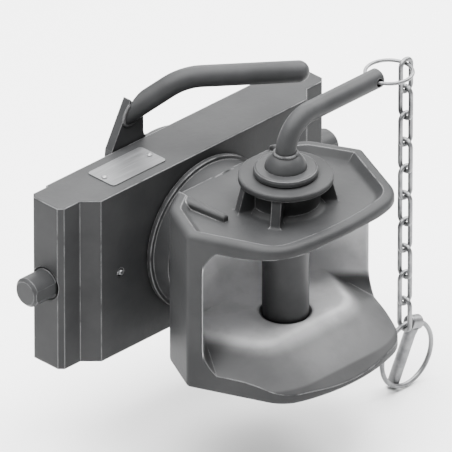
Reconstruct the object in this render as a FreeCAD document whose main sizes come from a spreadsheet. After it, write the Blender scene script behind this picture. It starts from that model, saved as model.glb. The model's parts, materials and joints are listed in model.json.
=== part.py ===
import FreeCAD, Part
import math
import os
import Sketcher

# Height-adjustable clevis coupling on a slide plate for a tractor's hitch rails.
# Frame: origin at the slide plate's centre, +X to the right seen from the mouth,
# +Y rearwards to the tractor, +Z up. Millimetres.

V = FreeCAD.Vector
doc = FreeCAD.newDocument("trailer_coupler")
sheet = doc.addObject("Spreadsheet::Sheet", "sizes")

SIZES = {
    # Slide plate
    "plate_half_width": 150.0,
    "plate_half_height": 74.0,
    "tongue_half_depth": 17.5,
    "tongue_chamfer": 4.0,
    "slope_outer_x": 128.5,
    "slope_inner_x": 116.5,
    "plate_front": 29.5,
    "pad_half_width": 130.0,
    "plate_rear": 19.5,
    # Data plate and rivets
    "label_left": 93.0,
    "label_length": 60.0,
    "label_width": 30.0,
    "label_thick": 0.8,
    "label_centre_y": -5.0,
    "label_corner": 3.0,
    "rivet_inset": 4.6,
    "rivet_head_radius": 2.4,
    "rivet_head_height": 1.4,
    "rivet_shank_radius": 1.2,
    "rivet_shank_length": 6.0,
    # Grease nipples
    "nipple_x": 95.0,
    "nipple_recess_radius": 3.6,
    "nipple_recess_depth": 2.2,
    "nipple_body_radius": 3.0,
    "nipple_dome_radius": 2.3,
    "nipple_height": 4.2,
    # Lock pins and their bores
    "lock_radius": 12.5,
    "lock_shank_radius": 13.0,
    "lock_nose_gap": 0.2,
    "lock_protrusion": 23.0,
    "lock_inner_x": 52.0,
    "lock_chamfer": 2.5,
    "lock_edge": 1.0,
    "lock_flat_depth": 1.0,
    "lock_bore_bottom_x": 27.5,
    "lock_travel": 24.0,
    "slide_clearance": 0.1,
    "bore_mouth_chamfer": 1.5,
    # Followers and the spiral slots
    "follower_radius": 5.0,
    "follower_x": 59.0,
    "follower_depth": 6.0,
    "follower_proud": 0.5,
    "slot_clearance": 0.3,
    "press_clearance": 0.02,
    "lever_angle": 20.0,
    # Lever plate
    "lever_plate_thick": 8.0,
    "lever_disc_radius": 68.5,
    "lever_bore_clearance": 0.08,
    "arm_right_x": 18.1,
    "arm_end_right_z": 92.0,
    "arm_end_left_x": 32.3,
    "arm_end_left_z": 112.6,
    "arm_left_x": 53.6,
    "arm_left_z": 73.2,
    "arm_foot_x": 58.0,
    "arm_foot_z": 36.0,
    "arm_fillet": 12.0,
    # Return spring of the lever and its two posts
    "spring_x": 50.0,
    "spring_y": 37.0,
    "spring_top_z": 16.0,
    "spring_bottom_z": 62.0,
    "spring_radius": 5.4,
    "spring_wire_radius": 1.6,
    "spring_pitch": 6.4,
    "post_radius": 3.0,
    "post_head_radius": 5.2,
    "post_head_thick": 1.5,
    "post_head_gap": 0.4,
    # Lever rod
    "rod_radius": 9.0,
    "rod_start_x": 25.4,
    "rod_start_z": 103.7,
    "rod_bend_x": 4.6,
    "rod_bend_y": 1.5,
    "rod_bend_z": 128.4,
    "rod_end_x": 86.3,
    "rod_end_y": 49.9,
    "rod_end_z": 120.2,
    "rod_bend_radius": 43.0,
    # Jaw shank, bearings and its nut
    "spigot_radius": 24.0,
    "spigot_front_y": 53.0,
    "shank_front_radius": 27.0,
    "shank_radius": 20.0,
    "thread_radius": 18.0,
    "shank_end_y": 66.0,
    "bush_outer_radius": 31.0,
    "front_bush_rear_y": 14.5,
    "running_clearance": 0.05,
    "disc_radius": 60.0,
    "disc_thick": 1.5,
    "rear_bush_radius": 25.0,
    "rear_bush_front_y": 2.0,
    "rear_flange_radius": 29.0,
    "rear_flange_thick": 2.0,
    "collar_proud": 0.5,
    "washer_radius": 29.4,
    "washer_thick": 4.0,
    "cup_radius": 28.0,
    "cup_thick": 2.6,
    "cup_rise": 0.9,
    "nut_flats": 55.0,
    "nut_height": 22.0,
    "nut_slot_width": 7.0,
    "nut_slot_depth": 8.0,
    "cotter_radius": 3.0,
    "cotter_overhang": 7.0,
    # Coupling pin, bore and bushes
    "pin_axis_y": 121.5,
    "pin_radius": 19.0,
    "pin_tail_below": 30.0,
    "pin_tail_chamfer": 3.0,
    "pin_head_radius": 26.0,
    "pin_head_thick": 6.2,
    "pin_head_edge": 2.5,
    "pin_head_gap": 0.3,
    "pin_dome_radius": 17.3,
    "pin_dome_sink": 3.0,
    "tail_hole_radius": 5.4,
    "tail_hole_below": 12.0,
    "bush_wall": 2.5,
    "bush_chamfer": 1.8,
    # Pin handle and its ring
    "handle_radius": 8.25,
    "handle_height": 136.0,
    "handle_bend": 27.0,
    "handle_end_x": 105.5,
    "handle_chamfer": 2.0,
    "handle_socket": 10.0,
    "handle_hole_radius": 3.6,
    "handle_hole_from_end": 6.9,
    "ring_wire_radius": 1.5,
    "ring_radius": 19.25,
    "ring_hole_offset": 0.8,
    # Chain
    "chain_wire_radius": 2.0,
    "chain_bend_radius": 5.8,
    "chain_straight": 17.3,
    "chain_gap": 0.3,
    # Linch pin
    "bail_radius": 28.2,
    "bail_tilt": 16.5,
    "bail_chord_half": 6.46,
    "bail_stub_gap": 1.5,
    "bail_centre_offset": 2.5,
    "linch_head_radius": 6.25,
    "linch_head_half": 6.0,
    "linch_shaft_radius": 5.0,
    "linch_length": 59.0,
    "linch_tilt": 7.6,
    "linch_tip_chamfer": 1.2,
    "linch_collar_radius": 5.9,
    "linch_collar_length": 4.0,
    # Jaw outline seen from above
    "jaw_top": 68.5,
    "jaw_bottom": 72.0,
    "upper_front_y": 190.0,
    "upper_front_side_y": 185.4,
    "lower_front_y": 200.0,
    "lower_front_side_y": 192.6,
    "front_side_x": 46.0,
    "cheek_front_x": 74.7,
    "cheek_front_y": 168.0,
    "front_corner": 33.0,
    "shoulder_x": 99.5,
    "shoulder_y": 109.5,
    "shoulder_corner": 5.0,
    "heel_x": 79.0,
    "heel_y": 68.0,
    "heel_corner": 22.0,
    "root_x": 50.0,
    "root_y": 50.0,
    "jaw_top_edge": 5.0,
    "jaw_bottom_edge": 3.0,
    # Jaw hub
    "hub_face_y": 31.0,
    "flange_radius": 66.5,
    "flange_thick": 4.0,
    "hub_radius": 63.0,
    "hub_front_y": 52.0,
    # Jaw mouth
    "plateau_z": 37.0,
    "plateau_front_y": 146.5,
    "plateau_side_x": 61.0,
    "plateau_side_y": 113.0,
    "plateau_corner": 20.0,
    "plateau_round": 8.0,
    "funnel_slope": 0.56,
    "mouth_rear_y": 60.0,
    "mouth_rear_x": 60.0,
    "mouth_wall_x": 92.0,
    "mouth_wall_y": 118.0,
    "mouth_corner": 22.0,
    "mouth_cove": 20.0,
    "cove_root": 3.0,
    # Jaw top pocket, boss, ribs and fins
    "pocket_floor": 62.0,
    "pocket_rim": 9.0,
    "pocket_wall": 15.5,
    "boss_radius": 27.7,
    "boss_foot": 4.0,
    "collar_radius": 38.3,
    "collar_base": 85.0,
    "collar_top": 90.0,
    "collar_edge": 1.5,
    "rib_foot_fillet": 2.5,
    "rib_thick": 8.0,
    "rib_foot_radius": 42.0,
    "rib_front_angle": 33.0,
    "rib_rear_angle": 25.0,
    "pocket_fillet": 4.5,
    "fin_x": 57.5,
    "fin_front_x": 54.5,
    "fin_front_y": 108.5,
    "fin_rear_y": 46.0,
    "fin_front_half": 2.6,
    "fin_rear_half": 6.0,
    "fin_top_edge": 2.0,
}

for row, (alias, value) in enumerate(SIZES.items(), 1):
    sheet.set("A%d" % row, alias)
    sheet.set("B%d" % row, str(value))
    sheet.setAlias("B%d" % row, alias)
doc.recompute()


def size(expression):
    """A value from the sheet, or worked out from its cells."""
    result = sheet.evalExpression(expression)
    return float(getattr(result, "Value", result))


def bound(expression):
    """The same expression, written for an object outside the sheet."""
    words = []
    word = ""
    for letter in expression + " ":
        if letter.isalnum() or letter == "_":
            word += letter
            continue
        words.append("sizes." + word if word in SIZES else word)
        words.append(letter)
        word = ""
    return "".join(words).strip()


def bind(thing, **properties):
    for name, expression in properties.items():
        thing.setExpression(name.replace("__", "."), bound(expression))


def placed(thing, x="0", y="0", z="0"):
    bind(thing, Placement__Base__x=x, Placement__Base__y=y, Placement__Base__z=z)
    return thing


# Bodies, sketches and their features

def new_body(label):
    body = doc.addObject("PartDesign::Body", label)
    body.Label = label
    return body


def new_sketch(body, role, offset="0"):
    name = "%s_sketch_%d" % (body.Name, len(body.Group))
    sketch = body.newObject("Sketcher::SketchObject", name)
    plane = next(f for f in body.Origin.OriginFeatures if f.Role == role)
    sketch.AttachmentSupport = [(plane, "")]
    sketch.MapMode = "FlatFace"
    bind(sketch, AttachmentOffset__Base__z=offset)
    return sketch


def fix_point(sketch, shape_index, end, across, up):
    """Ties a point of the sketch to two expressions of the sheet."""
    for kind, expression in (("DistanceX", across), ("DistanceY", up)):
        value = size(expression)
        index = sketch.addConstraint(Sketcher.Constraint(kind, shape_index, end, value))
        sketch.setExpression("Constraints[%d]" % index, bound(expression))


def polygon(sketch, points):
    first = sketch.GeometryCount
    spots = [V(size(across), size(up), 0) for across, up in points]
    for start, end in zip(spots, spots[1:] + spots[:1]):
        sketch.addGeometry(Part.LineSegment(start, end), False)
    for step, (across, up) in enumerate(points):
        before = first + (step - 1) % len(points)
        sketch.addConstraint(Sketcher.Constraint("Coincident", before, 2, first + step, 1))
        fix_point(sketch, first + step, 1, across, up)


def circle(sketch, across, up, radius):
    centre = V(size(across), size(up), 0)
    index = sketch.addGeometry(Part.Circle(centre, V(0, 0, 1), size(radius)), False)
    fix_point(sketch, index, 3, across, up)
    number = sketch.addConstraint(Sketcher.Constraint("Radius", index, size(radius)))
    sketch.setExpression("Constraints[%d]" % number, bound(radius))


def stadium(sketch, left, right, up, radius):
    """A slot along the sketch's first axis between two centres."""
    r = size(radius)
    a = V(size(left), size(up), 0)
    b = V(size(right), size(up), 0)
    arc_a = sketch.addGeometry(Part.ArcOfCircle(
        Part.Circle(a, V(0, 0, 1), r), math.pi / 2, 3 * math.pi / 2), False)
    low = sketch.addGeometry(Part.LineSegment(a + V(0, -r, 0), b + V(0, -r, 0)), False)
    arc_b = sketch.addGeometry(Part.ArcOfCircle(
        Part.Circle(b, V(0, 0, 1), r), -math.pi / 2, math.pi / 2), False)
    high = sketch.addGeometry(Part.LineSegment(b + V(0, r, 0), a + V(0, r, 0)), False)
    joints = ((arc_a, 2, low, 1), (low, 2, arc_b, 1), (arc_b, 2, high, 1), (high, 2, arc_a, 1))
    for one, one_end, other, other_end in joints:
        sketch.addConstraint(Sketcher.Constraint("Tangent", one, one_end, other, other_end))
    fix_point(sketch, arc_a, 3, left, up)
    number = sketch.addConstraint(
        Sketcher.Constraint("DistanceX", arc_b, 3, size(right)))
    sketch.setExpression("Constraints[%d]" % number, bound(right))
    number = sketch.addConstraint(Sketcher.Constraint("Radius", arc_a, r))
    sketch.setExpression("Constraints[%d]" % number, bound(radius))


def pad(body, sketch, length):
    feature = body.newObject("PartDesign::Pad", sketch.Name + "_pad")
    feature.Profile = sketch
    bind(feature, Length=length)
    return feature


def pocket(body, sketch, length, forward=False):
    feature = body.newObject("PartDesign::Pocket", sketch.Name + "_pocket")
    feature.Profile = sketch
    feature.Reversed = forward
    bind(feature, Length=length)
    return feature


def turned(body, sketch, axis="V_Axis", cut=False):
    kind = "PartDesign::Groove" if cut else "PartDesign::Revolution"
    feature = body.newObject(kind, sketch.Name + "_turned")
    feature.Profile = sketch
    feature.ReferenceAxis = (sketch, [axis])
    feature.Angle = 360
    return feature


def turned_body(label, role, points, axis="V_Axis"):
    body = new_body(label)
    sketch = new_sketch(body, role)
    polygon(sketch, points)
    turned(body, sketch, axis)
    return body


def group(label, members):
    compound = doc.addObject("Part::Compound", label)
    compound.Label = label
    compound.Links = members
    return compound


def shaped(label, shape, placement=FreeCAD.Placement()):
    feature = doc.addObject("Part::Feature", label)
    feature.Label = label
    feature.Shape = shape
    feature.Placement = placement
    return feature


def spring_post(height, front):
    """A headed post that holds one end of the lever's spring, along Y."""
    rear = size("spring_y + spring_wire_radius + post_head_gap")
    foot = V(size("spring_x"), front, height)
    along = V(0, 1, 0)
    post = Part.makeCylinder(size("post_radius"), rear - front, foot, along)
    head = Part.makeCylinder(size("post_head_radius"), size("post_head_thick"),
                             V(foot.x, rear, height), along)
    return post.fuse(head)


# Slide plate

def make_slide_plate():
    body = new_body("plate_casting")
    outline = new_sketch(body, "XY_Plane", "-plate_half_height")
    right = [
        ("slope_inner_x", "-plate_front"),
        ("slope_outer_x", "-tongue_half_depth"),
        ("plate_half_width - tongue_chamfer", "-tongue_half_depth"),
        ("plate_half_width", "tongue_chamfer - tongue_half_depth"),
        ("plate_half_width", "tongue_half_depth - tongue_chamfer"),
        ("plate_half_width - tongue_chamfer", "tongue_half_depth"),
        ("pad_half_width", "tongue_half_depth"),
        ("pad_half_width", "plate_rear"),
    ]
    left = [("-(%s)" % across, up) for across, up in reversed(right)]
    polygon(outline, right + left)
    pad(body, outline, "2 * plate_half_height")

    bore = new_sketch(body, "XY_Plane")
    polygon(bore, [
        ("0", "-plate_front - 1"),
        ("bush_outer_radius + press_clearance", "-plate_front - 1"),
        ("bush_outer_radius + press_clearance", "-front_bush_rear_y"),
        ("rear_bush_radius + press_clearance", "-front_bush_rear_y"),
        ("rear_bush_radius + press_clearance", "plate_rear + 1"),
        ("0", "plate_rear + 1"),
    ])
    turned(body, bore, cut=True)

    for side in ("", "-"):
        lock = new_sketch(body, "XY_Plane")
        wall = "lock_shank_radius + slide_clearance"
        polygon(lock, [
            (side + "lock_bore_bottom_x", "0"),
            (side + "(plate_half_width + 1)", "0"),
            (side + "(plate_half_width + 1)", wall + " + bore_mouth_chamfer + 1"),
            (side + "(plate_half_width - bore_mouth_chamfer)", wall),
            (side + "lock_bore_bottom_x", wall),
        ])
        turned(body, lock, "H_Axis", cut=True)

        run = new_sketch(body, "XZ_Plane")
        ends = [side + "(follower_x)", side + "(follower_x - lock_travel)"]
        near, far = reversed(ends) if side == "" else ends
        stadium(run, near, far, "0", "follower_radius + slot_clearance")
        pocket(body, run, "plate_rear + 1")

        nipple = new_sketch(body, "XZ_Plane", "plate_front - nipple_recess_depth")
        circle(nipple, side + "nipple_x", "0", "nipple_recess_radius")
        pocket(body, nipple, "nipple_recess_depth + 1", forward=True)

    rivets = new_sketch(body, "XY_Plane", "plate_half_height - rivet_shank_length")
    for across in RIVET_PLACES:
        circle(rivets, across, "label_centre_y", "rivet_shank_radius + press_clearance")
    pocket(body, rivets, "rivet_shank_length + 1", forward=True)
    doc.recompute()
    post = spring_post(-size("spring_bottom_z"), size("plate_rear") - size("tongue_chamfer"))
    return shaped("slide_plate", body.Shape.fuse(post))


RIVET_PLACES = (
    "rivet_inset - label_left",
    "label_length - label_left - rivet_inset",
)


def make_data_plate():
    blank = doc.addObject("Part::Box", "label_blank")
    bind(blank, Length="label_length", Width="label_width", Height="label_thick")
    placed(blank, "-label_left", "label_centre_y - label_width / 2", "plate_half_height")
    doc.recompute()
    rounded = doc.addObject("Part::Fillet", "label_rounded")
    rounded.Base = blank
    upright = [
        number for number, edge in enumerate(blank.Shape.Edges, 1)
        if abs(edge.Vertexes[0].Z - edge.Vertexes[-1].Z) > size("label_thick") / 2
    ]
    rounded.Edges = [(number, size("label_corner"), size("label_corner")) for number in upright]
    cutters = []
    for count, across in enumerate(RIVET_PLACES):
        cutter = doc.addObject("Part::Cylinder", "label_hole_%d" % count)
        bind(cutter, Radius="rivet_shank_radius + press_clearance", Height="label_thick + 2")
        placed(cutter, across, "label_centre_y", "plate_half_height - 1")
        cutters.append(cutter)
    holes = doc.addObject("Part::Compound", "label_holes")
    holes.Links = cutters
    plate = doc.addObject("Part::Cut", "data_plate")
    plate.Label = "data_plate"
    plate.Base = rounded
    plate.Tool = holes
    return plate


def make_rivets():
    members = []
    for count, across in enumerate(RIVET_PLACES):
        dome = turned_body("rivet_%d" % count, "XZ_Plane", [
            ("0", "-rivet_shank_length + label_thick"),
            ("rivet_shank_radius", "-rivet_shank_length + label_thick"),
            ("rivet_shank_radius", "label_thick"),
            ("rivet_head_radius", "label_thick"),
            ("rivet_head_radius * 0.92", "label_thick + rivet_head_height * 0.42"),
            ("rivet_head_radius * 0.66", "label_thick + rivet_head_height * 0.8"),
            ("rivet_head_radius * 0.3", "label_thick + rivet_head_height * 0.97"),
            ("0", "label_thick + rivet_head_height"),
        ])
        members.append(placed(dome, across, "label_centre_y", "plate_half_height"))
    return group("data_plate_rivets", members)


def make_nipples():
    members = []
    for side in ("", "-"):
        nipple = turned_body("nipple" + ("_right" if side == "" else "_left"), "XY_Plane", [
            ("0", "0"),
            ("nipple_body_radius", "0"),
            ("nipple_body_radius", "-nipple_height * 0.3"),
            ("nipple_dome_radius * 0.75", "-nipple_height * 0.45"),
            ("nipple_dome_radius", "-nipple_height * 0.7"),
            ("nipple_dome_radius * 0.8", "-nipple_height * 0.92"),
            ("nipple_dome_radius * 0.4", "-nipple_height"),
            ("0", "-nipple_height"),
        ])
        placed(nipple, side + "nipple_x", "nipple_recess_depth - plate_front", "0")
        members.append(nipple)
    return group("grease_nipples", members)


# Shank bearings

def make_friction_disc():
    return turned_body("friction_disc", "XY_Plane", [
        ("shank_front_radius + 1", "-plate_front - disc_thick"),
        ("disc_radius", "-plate_front - disc_thick"),
        ("disc_radius", "-plate_front"),
        ("shank_front_radius + 1", "-plate_front"),
    ])


def make_front_bush():
    return turned_body("front_bush", "XY_Plane", [
        ("shank_front_radius + running_clearance", "-plate_front"),
        ("bush_outer_radius", "-plate_front"),
        ("bush_outer_radius", "-front_bush_rear_y"),
        ("shank_front_radius + running_clearance", "-front_bush_rear_y"),
    ])


def make_rear_bush():
    flange_rear = "plate_rear + rear_flange_thick"
    collar_rear = flange_rear + " + lever_plate_thick + collar_proud"
    return turned_body("rear_bush", "XY_Plane", [
        ("shank_radius + running_clearance", "rear_bush_front_y"),
        ("rear_bush_radius", "rear_bush_front_y"),
        ("rear_bush_radius", "plate_rear"),
        ("rear_flange_radius", "plate_rear"),
        ("rear_flange_radius", flange_rear),
        ("rear_bush_radius", flange_rear),
        ("rear_bush_radius", collar_rear),
        ("shank_radius + running_clearance", collar_rear),
    ])


LEVER_FRONT = "plate_rear + rear_flange_thick"
LEVER_REAR = LEVER_FRONT + " + lever_plate_thick"
WASHER_FRONT = LEVER_REAR + " + collar_proud"
WASHER_REAR = WASHER_FRONT + " + washer_thick"


def make_thrust_washer():
    return turned_body("thrust_washer", "XY_Plane", [
        ("shank_radius + 0.3", WASHER_FRONT),
        ("washer_radius", WASHER_FRONT),
        ("washer_radius", WASHER_REAR),
        ("shank_radius + 0.3", WASHER_REAR),
    ])


def make_disc_springs():
    """Two cup springs, rim to rim, between the washer and the nut."""
    inner = "shank_radius + 0.3"
    first = turned_body("cup_first", "XY_Plane", [
        (inner, WASHER_REAR),
        ("cup_radius", WASHER_REAR + " + cup_rise"),
        ("cup_radius", WASHER_REAR + " + cup_rise + cup_thick"),
        (inner, WASHER_REAR + " + cup_thick"),
    ])
    fold = "2 * (%s + cup_rise + cup_thick)" % WASHER_REAR
    second = turned_body("cup_second", "XY_Plane", [
        (inner, "%s - (%s)" % (fold, WASHER_REAR)),
        ("cup_radius", "%s - (%s + cup_rise)" % (fold, WASHER_REAR)),
        ("cup_radius", "%s - (%s + cup_rise + cup_thick)" % (fold, WASHER_REAR)),
        (inner, "%s - (%s + cup_thick)" % (fold, WASHER_REAR)),
    ])
    return group("disc_springs", [first, second])


NUT_FRONT = "2 * (%s + cup_rise + cup_thick) - (%s)" % (WASHER_REAR, WASHER_REAR)
COTTER_Y = NUT_FRONT + " + nut_height - nut_slot_depth / 2"


def make_castle_nut():
    flats = size("nut_flats")
    front = size(NUT_FRONT)
    height = size("nut_height")
    corner = flats / 2 / math.cos(math.radians(30))
    points = [
        V(corner * math.cos(math.radians(60 * turn)), 0, corner * math.sin(math.radians(60 * turn)))
        for turn in range(7)
    ]
    nut = Part.Face(Part.makePolygon(points)).extrude(V(0, height, 0))
    cone = Part.makeCone(corner + height * 0.9, corner - 2.2, height, V(0, 0, 0), V(0, 1, 0))
    nut = nut.common(cone)
    nut = nut.cut(Part.makeCylinder(size("thread_radius + running_clearance"), height, V(), V(0, 1, 0)))
    slot = size("nut_slot_width")
    for turn in range(3):
        bar = Part.makeBox(2 * flats, size("nut_slot_depth"), slot,
                           V(-flats, height - size("nut_slot_depth"), -slot / 2))
        bar.rotate(V(), V(0, 1, 0), 60 * turn + 30)
        nut = nut.cut(bar)
    return shaped("castle_nut", nut, FreeCAD.Placement(V(0, front, 0), FreeCAD.Rotation()))


def make_cotter_pin():
    radius = size("cotter_radius")
    reach = size("nut_flats / 2 + cotter_overhang")
    along = V(0, 0, 1)
    shank = Part.makeCylinder(radius, 2 * reach, along * -reach, along)
    head = Part.makeTorus(radius * 1.6, radius * 0.62, V(), V(0, 1, 0))
    head.translate(along * (reach + radius * 1.5))
    place = V(0, size(COTTER_Y), 0)
    return shaped("cotter_pin", shank.fuse(head), FreeCAD.Placement(place, FreeCAD.Rotation()))


# Lock pins and followers

def make_lock_pin(label, side):
    outer = "plate_half_width + lock_protrusion"
    nose = "plate_half_width + lock_nose_gap"
    body = turned_body(label, "XY_Plane", [
        (side + "lock_inner_x", "0"),
        (side + "(%s)" % outer, "0"),
        (side + "(%s)" % outer, "lock_radius - lock_chamfer"),
        (side + "(%s - lock_chamfer)" % outer, "lock_radius"),
        (side + "(%s)" % nose, "lock_radius"),
        (side + "(%s + lock_radius - lock_shank_radius)" % nose, "lock_shank_radius"),
        (side + "(lock_inner_x + lock_edge)", "lock_shank_radius"),
        (side + "lock_inner_x", "lock_shank_radius - lock_edge"),
    ], "H_Axis")
    flat = new_sketch(body, "XZ_Plane", "lock_radius - lock_flat_depth")
    ends = ("lock_inner_x - 1", outer + " + 1")
    polygon(flat, [
        (side + "(%s)" % ends[0], "-lock_shank_radius"),
        (side + "(%s)" % ends[1], "-lock_shank_radius"),
        (side + "(%s)" % ends[1], "lock_shank_radius"),
        (side + "(%s)" % ends[0], "lock_shank_radius"),
    ])
    pocket(body, flat, "lock_shank_radius", forward=True)
    seat = new_sketch(body, "XZ_Plane", "follower_depth")
    circle(seat, side + "follower_x", "0", "follower_radius + press_clearance")
    pocket(body, seat, "follower_depth + lock_shank_radius + 1")
    return body


def make_follower(label, side):
    rear = LEVER_REAR + " + follower_proud"
    body = turned_body(label, "XY_Plane", [
        ("0", "-follower_depth"),
        ("follower_radius", "-follower_depth"),
        ("follower_radius", rear + " - 0.8"),
        ("follower_radius - 0.8", rear),
        ("0", rear),
    ])
    return placed(body, side + "follower_x", "0", "0")


# Hand lever

def spiral_slot(turn):
    """The face of a slot that draws a follower inwards as the lever turns."""
    half = size("follower_radius + slot_clearance")
    start = size("follower_x")
    drop = size("lock_travel")
    sweep = math.radians(size("lever_angle"))
    centres = []
    for step in range(9):
        part = step / 8.0
        radius = start - drop * part
        angle = -sweep * part + turn
        centres.append(V(radius * math.cos(angle), 0, radius * math.sin(angle)))
    near = []
    far = []
    tangents = []
    for step, centre in enumerate(centres):
        before = centres[max(step - 1, 0)]
        after = centres[min(step + 1, len(centres) - 1)]
        tangent = (after - before).normalize()
        normal = V(tangent.z, 0, -tangent.x)
        near.append(centre + normal * half)
        far.append(centre - normal * half)
        tangents.append(tangent)
    sides = []
    for points in (near, far[::-1]):
        curve = Part.BSplineCurve()
        curve.interpolate(points)
        sides.append(curve.toShape())
    end = Part.Arc(near[-1], centres[-1] + tangents[-1] * half, far[-1]).toShape()
    begin = Part.Arc(far[0], centres[0] - tangents[0] * half, near[0]).toShape()
    return Part.Face(Part.Wire([sides[0], end, sides[1], begin]))


def make_lever_plate():
    thick = size("lever_plate_thick")
    front = size(LEVER_FRONT)
    disc = Part.makeCylinder(size("lever_disc_radius"), thick, V(), V(0, 1, 0))
    corners = [
        V(-size("arm_right_x"), 0, 0),
        V(-size("arm_right_x"), 0, size("arm_end_right_z")),
        V(-size("arm_end_left_x"), 0, size("arm_end_left_z")),
        V(-size("arm_left_x"), 0, size("arm_left_z")),
        V(-size("arm_foot_x"), 0, size("arm_foot_z")),
        V(-size("arm_foot_x") / 2, 0, 0),
    ]
    arm = Part.Face(Part.makePolygon(corners + corners[:1])).extrude(V(0, thick, 0))
    blank = disc.fuse(arm).removeSplitter()
    face = min(blank.Faces, key=lambda side: side.CenterOfMass.y)
    fillet = size("arm_fillet")
    plate = face.makeOffset2D(fillet).makeOffset2D(-fillet).extrude(V(0, thick, 0))
    bore = size("rear_bush_radius + lever_bore_clearance")
    plate = plate.cut(Part.makeCylinder(bore, thick, V(), V(0, 1, 0)))
    for turn in (0, math.pi):
        plate = plate.cut(spiral_slot(turn).extrude(V(0, thick, 0)))
    plate.translate(V(0, front, 0))
    post = spring_post(size("spring_top_z"), size(LEVER_REAR) - thick / 2)
    return shaped("lever_plate", plate.fuse(post))


def half_turns(radius, wire, pitch, count):
    """A coil of half rings about Z, each tilted so that it meets the next one square."""
    tilt = math.degrees(math.atan(pitch / (4 * radius)))
    ring = Part.makeTorus(math.hypot(radius, pitch / 4), wire, V(), V(0, 0, 1), 0, 360, 180)
    halves = []
    for number in range(count):
        half = ring.copy()
        half.rotate(V(), V(0, 1, 0), -tilt)
        half.rotate(V(), V(0, 0, 1), 180 * (number % 2))
        half.translate(V(0, 0, (number + 0.5) * pitch / 2))
        halves.append(half)
    return halves


def make_lever_spring():
    """A close-wound extension spring with an eye at each end."""
    wire = size("spring_wire_radius")
    coil = size("spring_radius")
    pitch = size("spring_pitch")
    eye = size("post_radius + spring_wire_radius + slot_clearance")
    top = size("spring_top_z") - eye
    bottom = -size("spring_bottom_z") + eye
    turns = math.floor((top - bottom) / pitch)
    start = (top + bottom - turns * pitch) / 2
    spring = half_turns(coil, wire, pitch, 2 * turns)
    for half in spring:
        half.translate(V(0, 0, start))
    for middle, end in ((size("spring_top_z"), start + turns * pitch),
                        (-size("spring_bottom_z"), start)):
        spring.append(Part.makeTorus(eye, wire, V(0, 0, middle), V(0, 1, 0)))
        spring.append(Part.makeCylinder(wire, coil, V(-coil, 0, end), V(1, 0, 0)))
    for piece in spring:
        piece.translate(V(size("spring_x"), size("spring_y"), 0))
    return shaped("lever_spring", spring[0].fuse(spring[1:]))


def bent_path(points, radius):
    """Straight runs through the points, with one arc of the given radius at each turn."""
    edges = []
    start = points[0]
    for before, corner, after in zip(points, points[1:], points[2:]):
        inward = (before - corner).normalize()
        outward = (after - corner).normalize()
        half = inward.getAngle(outward) / 2
        back = radius / math.tan(half)
        to_middle = (inward + outward).normalize()
        middle = corner + to_middle * (radius / math.sin(half) - radius)
        first = corner + inward * back
        last = corner + outward * back
        edges.append(Part.makeLine(start, first))
        edges.append(Part.Arc(first, middle, last).toShape())
        start = last
    edges.append(Part.makeLine(start, points[-1]))
    return Part.Wire(edges)


def round_bar(path, radius):
    start = path.OrderedVertexes[0].Point
    first = path.OrderedEdges[0]
    direction = first.tangentAt(first.FirstParameter)
    section = Part.Wire(Part.makeCircle(radius, start, direction))
    return path.makePipeShell([section], True, False)


def make_lever_rod():
    radius = size("rod_radius")
    seat_y = size(LEVER_FRONT)
    foot = V(-size("rod_start_x"), seat_y, size("rod_start_z"))
    corner = V(size("rod_bend_x"), -size("rod_bend_y"), size("rod_bend_z"))
    end = V(size("rod_end_x"), -size("rod_end_y"), size("rod_end_z"))
    into_plate = (foot - corner).normalize()
    start = foot + into_plate * (2 * radius)
    rod = round_bar(bent_path([start, corner, end], size("rod_bend_radius")), radius)
    rod = rod.fuse(Part.makeSphere(radius, end)).removeSplitter()
    behind = Part.makeBox(12 * radius, 4 * radius, 12 * radius,
                          V(start.x - 6 * radius, seat_y, start.z - 6 * radius))
    return shaped("lever_rod", rod.cut(behind))


# Coupling pin, its bushes and handle

COLLAR_TOP = "collar_top + pin_head_gap"
HEAD_TOP = COLLAR_TOP + " + pin_head_thick"


def make_coupling_pin():
    tail = "-jaw_bottom - pin_tail_below"
    dome_centre = HEAD_TOP + " - pin_dome_sink"
    body = turned_body("coupling_pin", "XZ_Plane", [
        ("0", tail),
        ("pin_radius - pin_tail_chamfer", tail),
        ("pin_radius", tail + " + pin_tail_chamfer"),
        ("pin_radius", COLLAR_TOP),
        ("pin_head_radius - 1", COLLAR_TOP),
        ("pin_head_radius", COLLAR_TOP + " + 1"),
        ("pin_head_radius", HEAD_TOP + " - pin_head_edge"),
        ("pin_head_radius - pin_head_edge * 0.29", HEAD_TOP + " - pin_head_edge * 0.29"),
        ("pin_head_radius - pin_head_edge", HEAD_TOP),
        ("0", HEAD_TOP),
    ])
    dome = new_sketch(body, "XZ_Plane")
    angles = (10, 25, 40, 55, 70)
    profile = [("0", dome_centre)]
    for angle in angles:
        across = "pin_dome_radius * %.6f" % math.cos(math.radians(angle))
        up = "%s + pin_dome_radius * %.6f" % (dome_centre, math.sin(math.radians(angle)))
        profile.append((across, up))
    profile.append(("0", dome_centre + " + pin_dome_radius"))
    polygon(dome, profile)
    turned(body, dome)
    socket = new_sketch(body, "XY_Plane", HEAD_TOP + " - handle_socket + handle_radius")
    circle(socket, "0", "0", "handle_radius + press_clearance")
    pocket(body, socket, "handle_height", forward=True)
    hole = new_sketch(body, "YZ_Plane", "-2 * pin_radius")
    circle(hole, "0", "-jaw_bottom - tail_hole_below", "tail_hole_radius")
    pocket(body, hole, "4 * pin_radius", forward=True)
    return placed(body, "0", "-pin_axis_y", "0")


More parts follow.
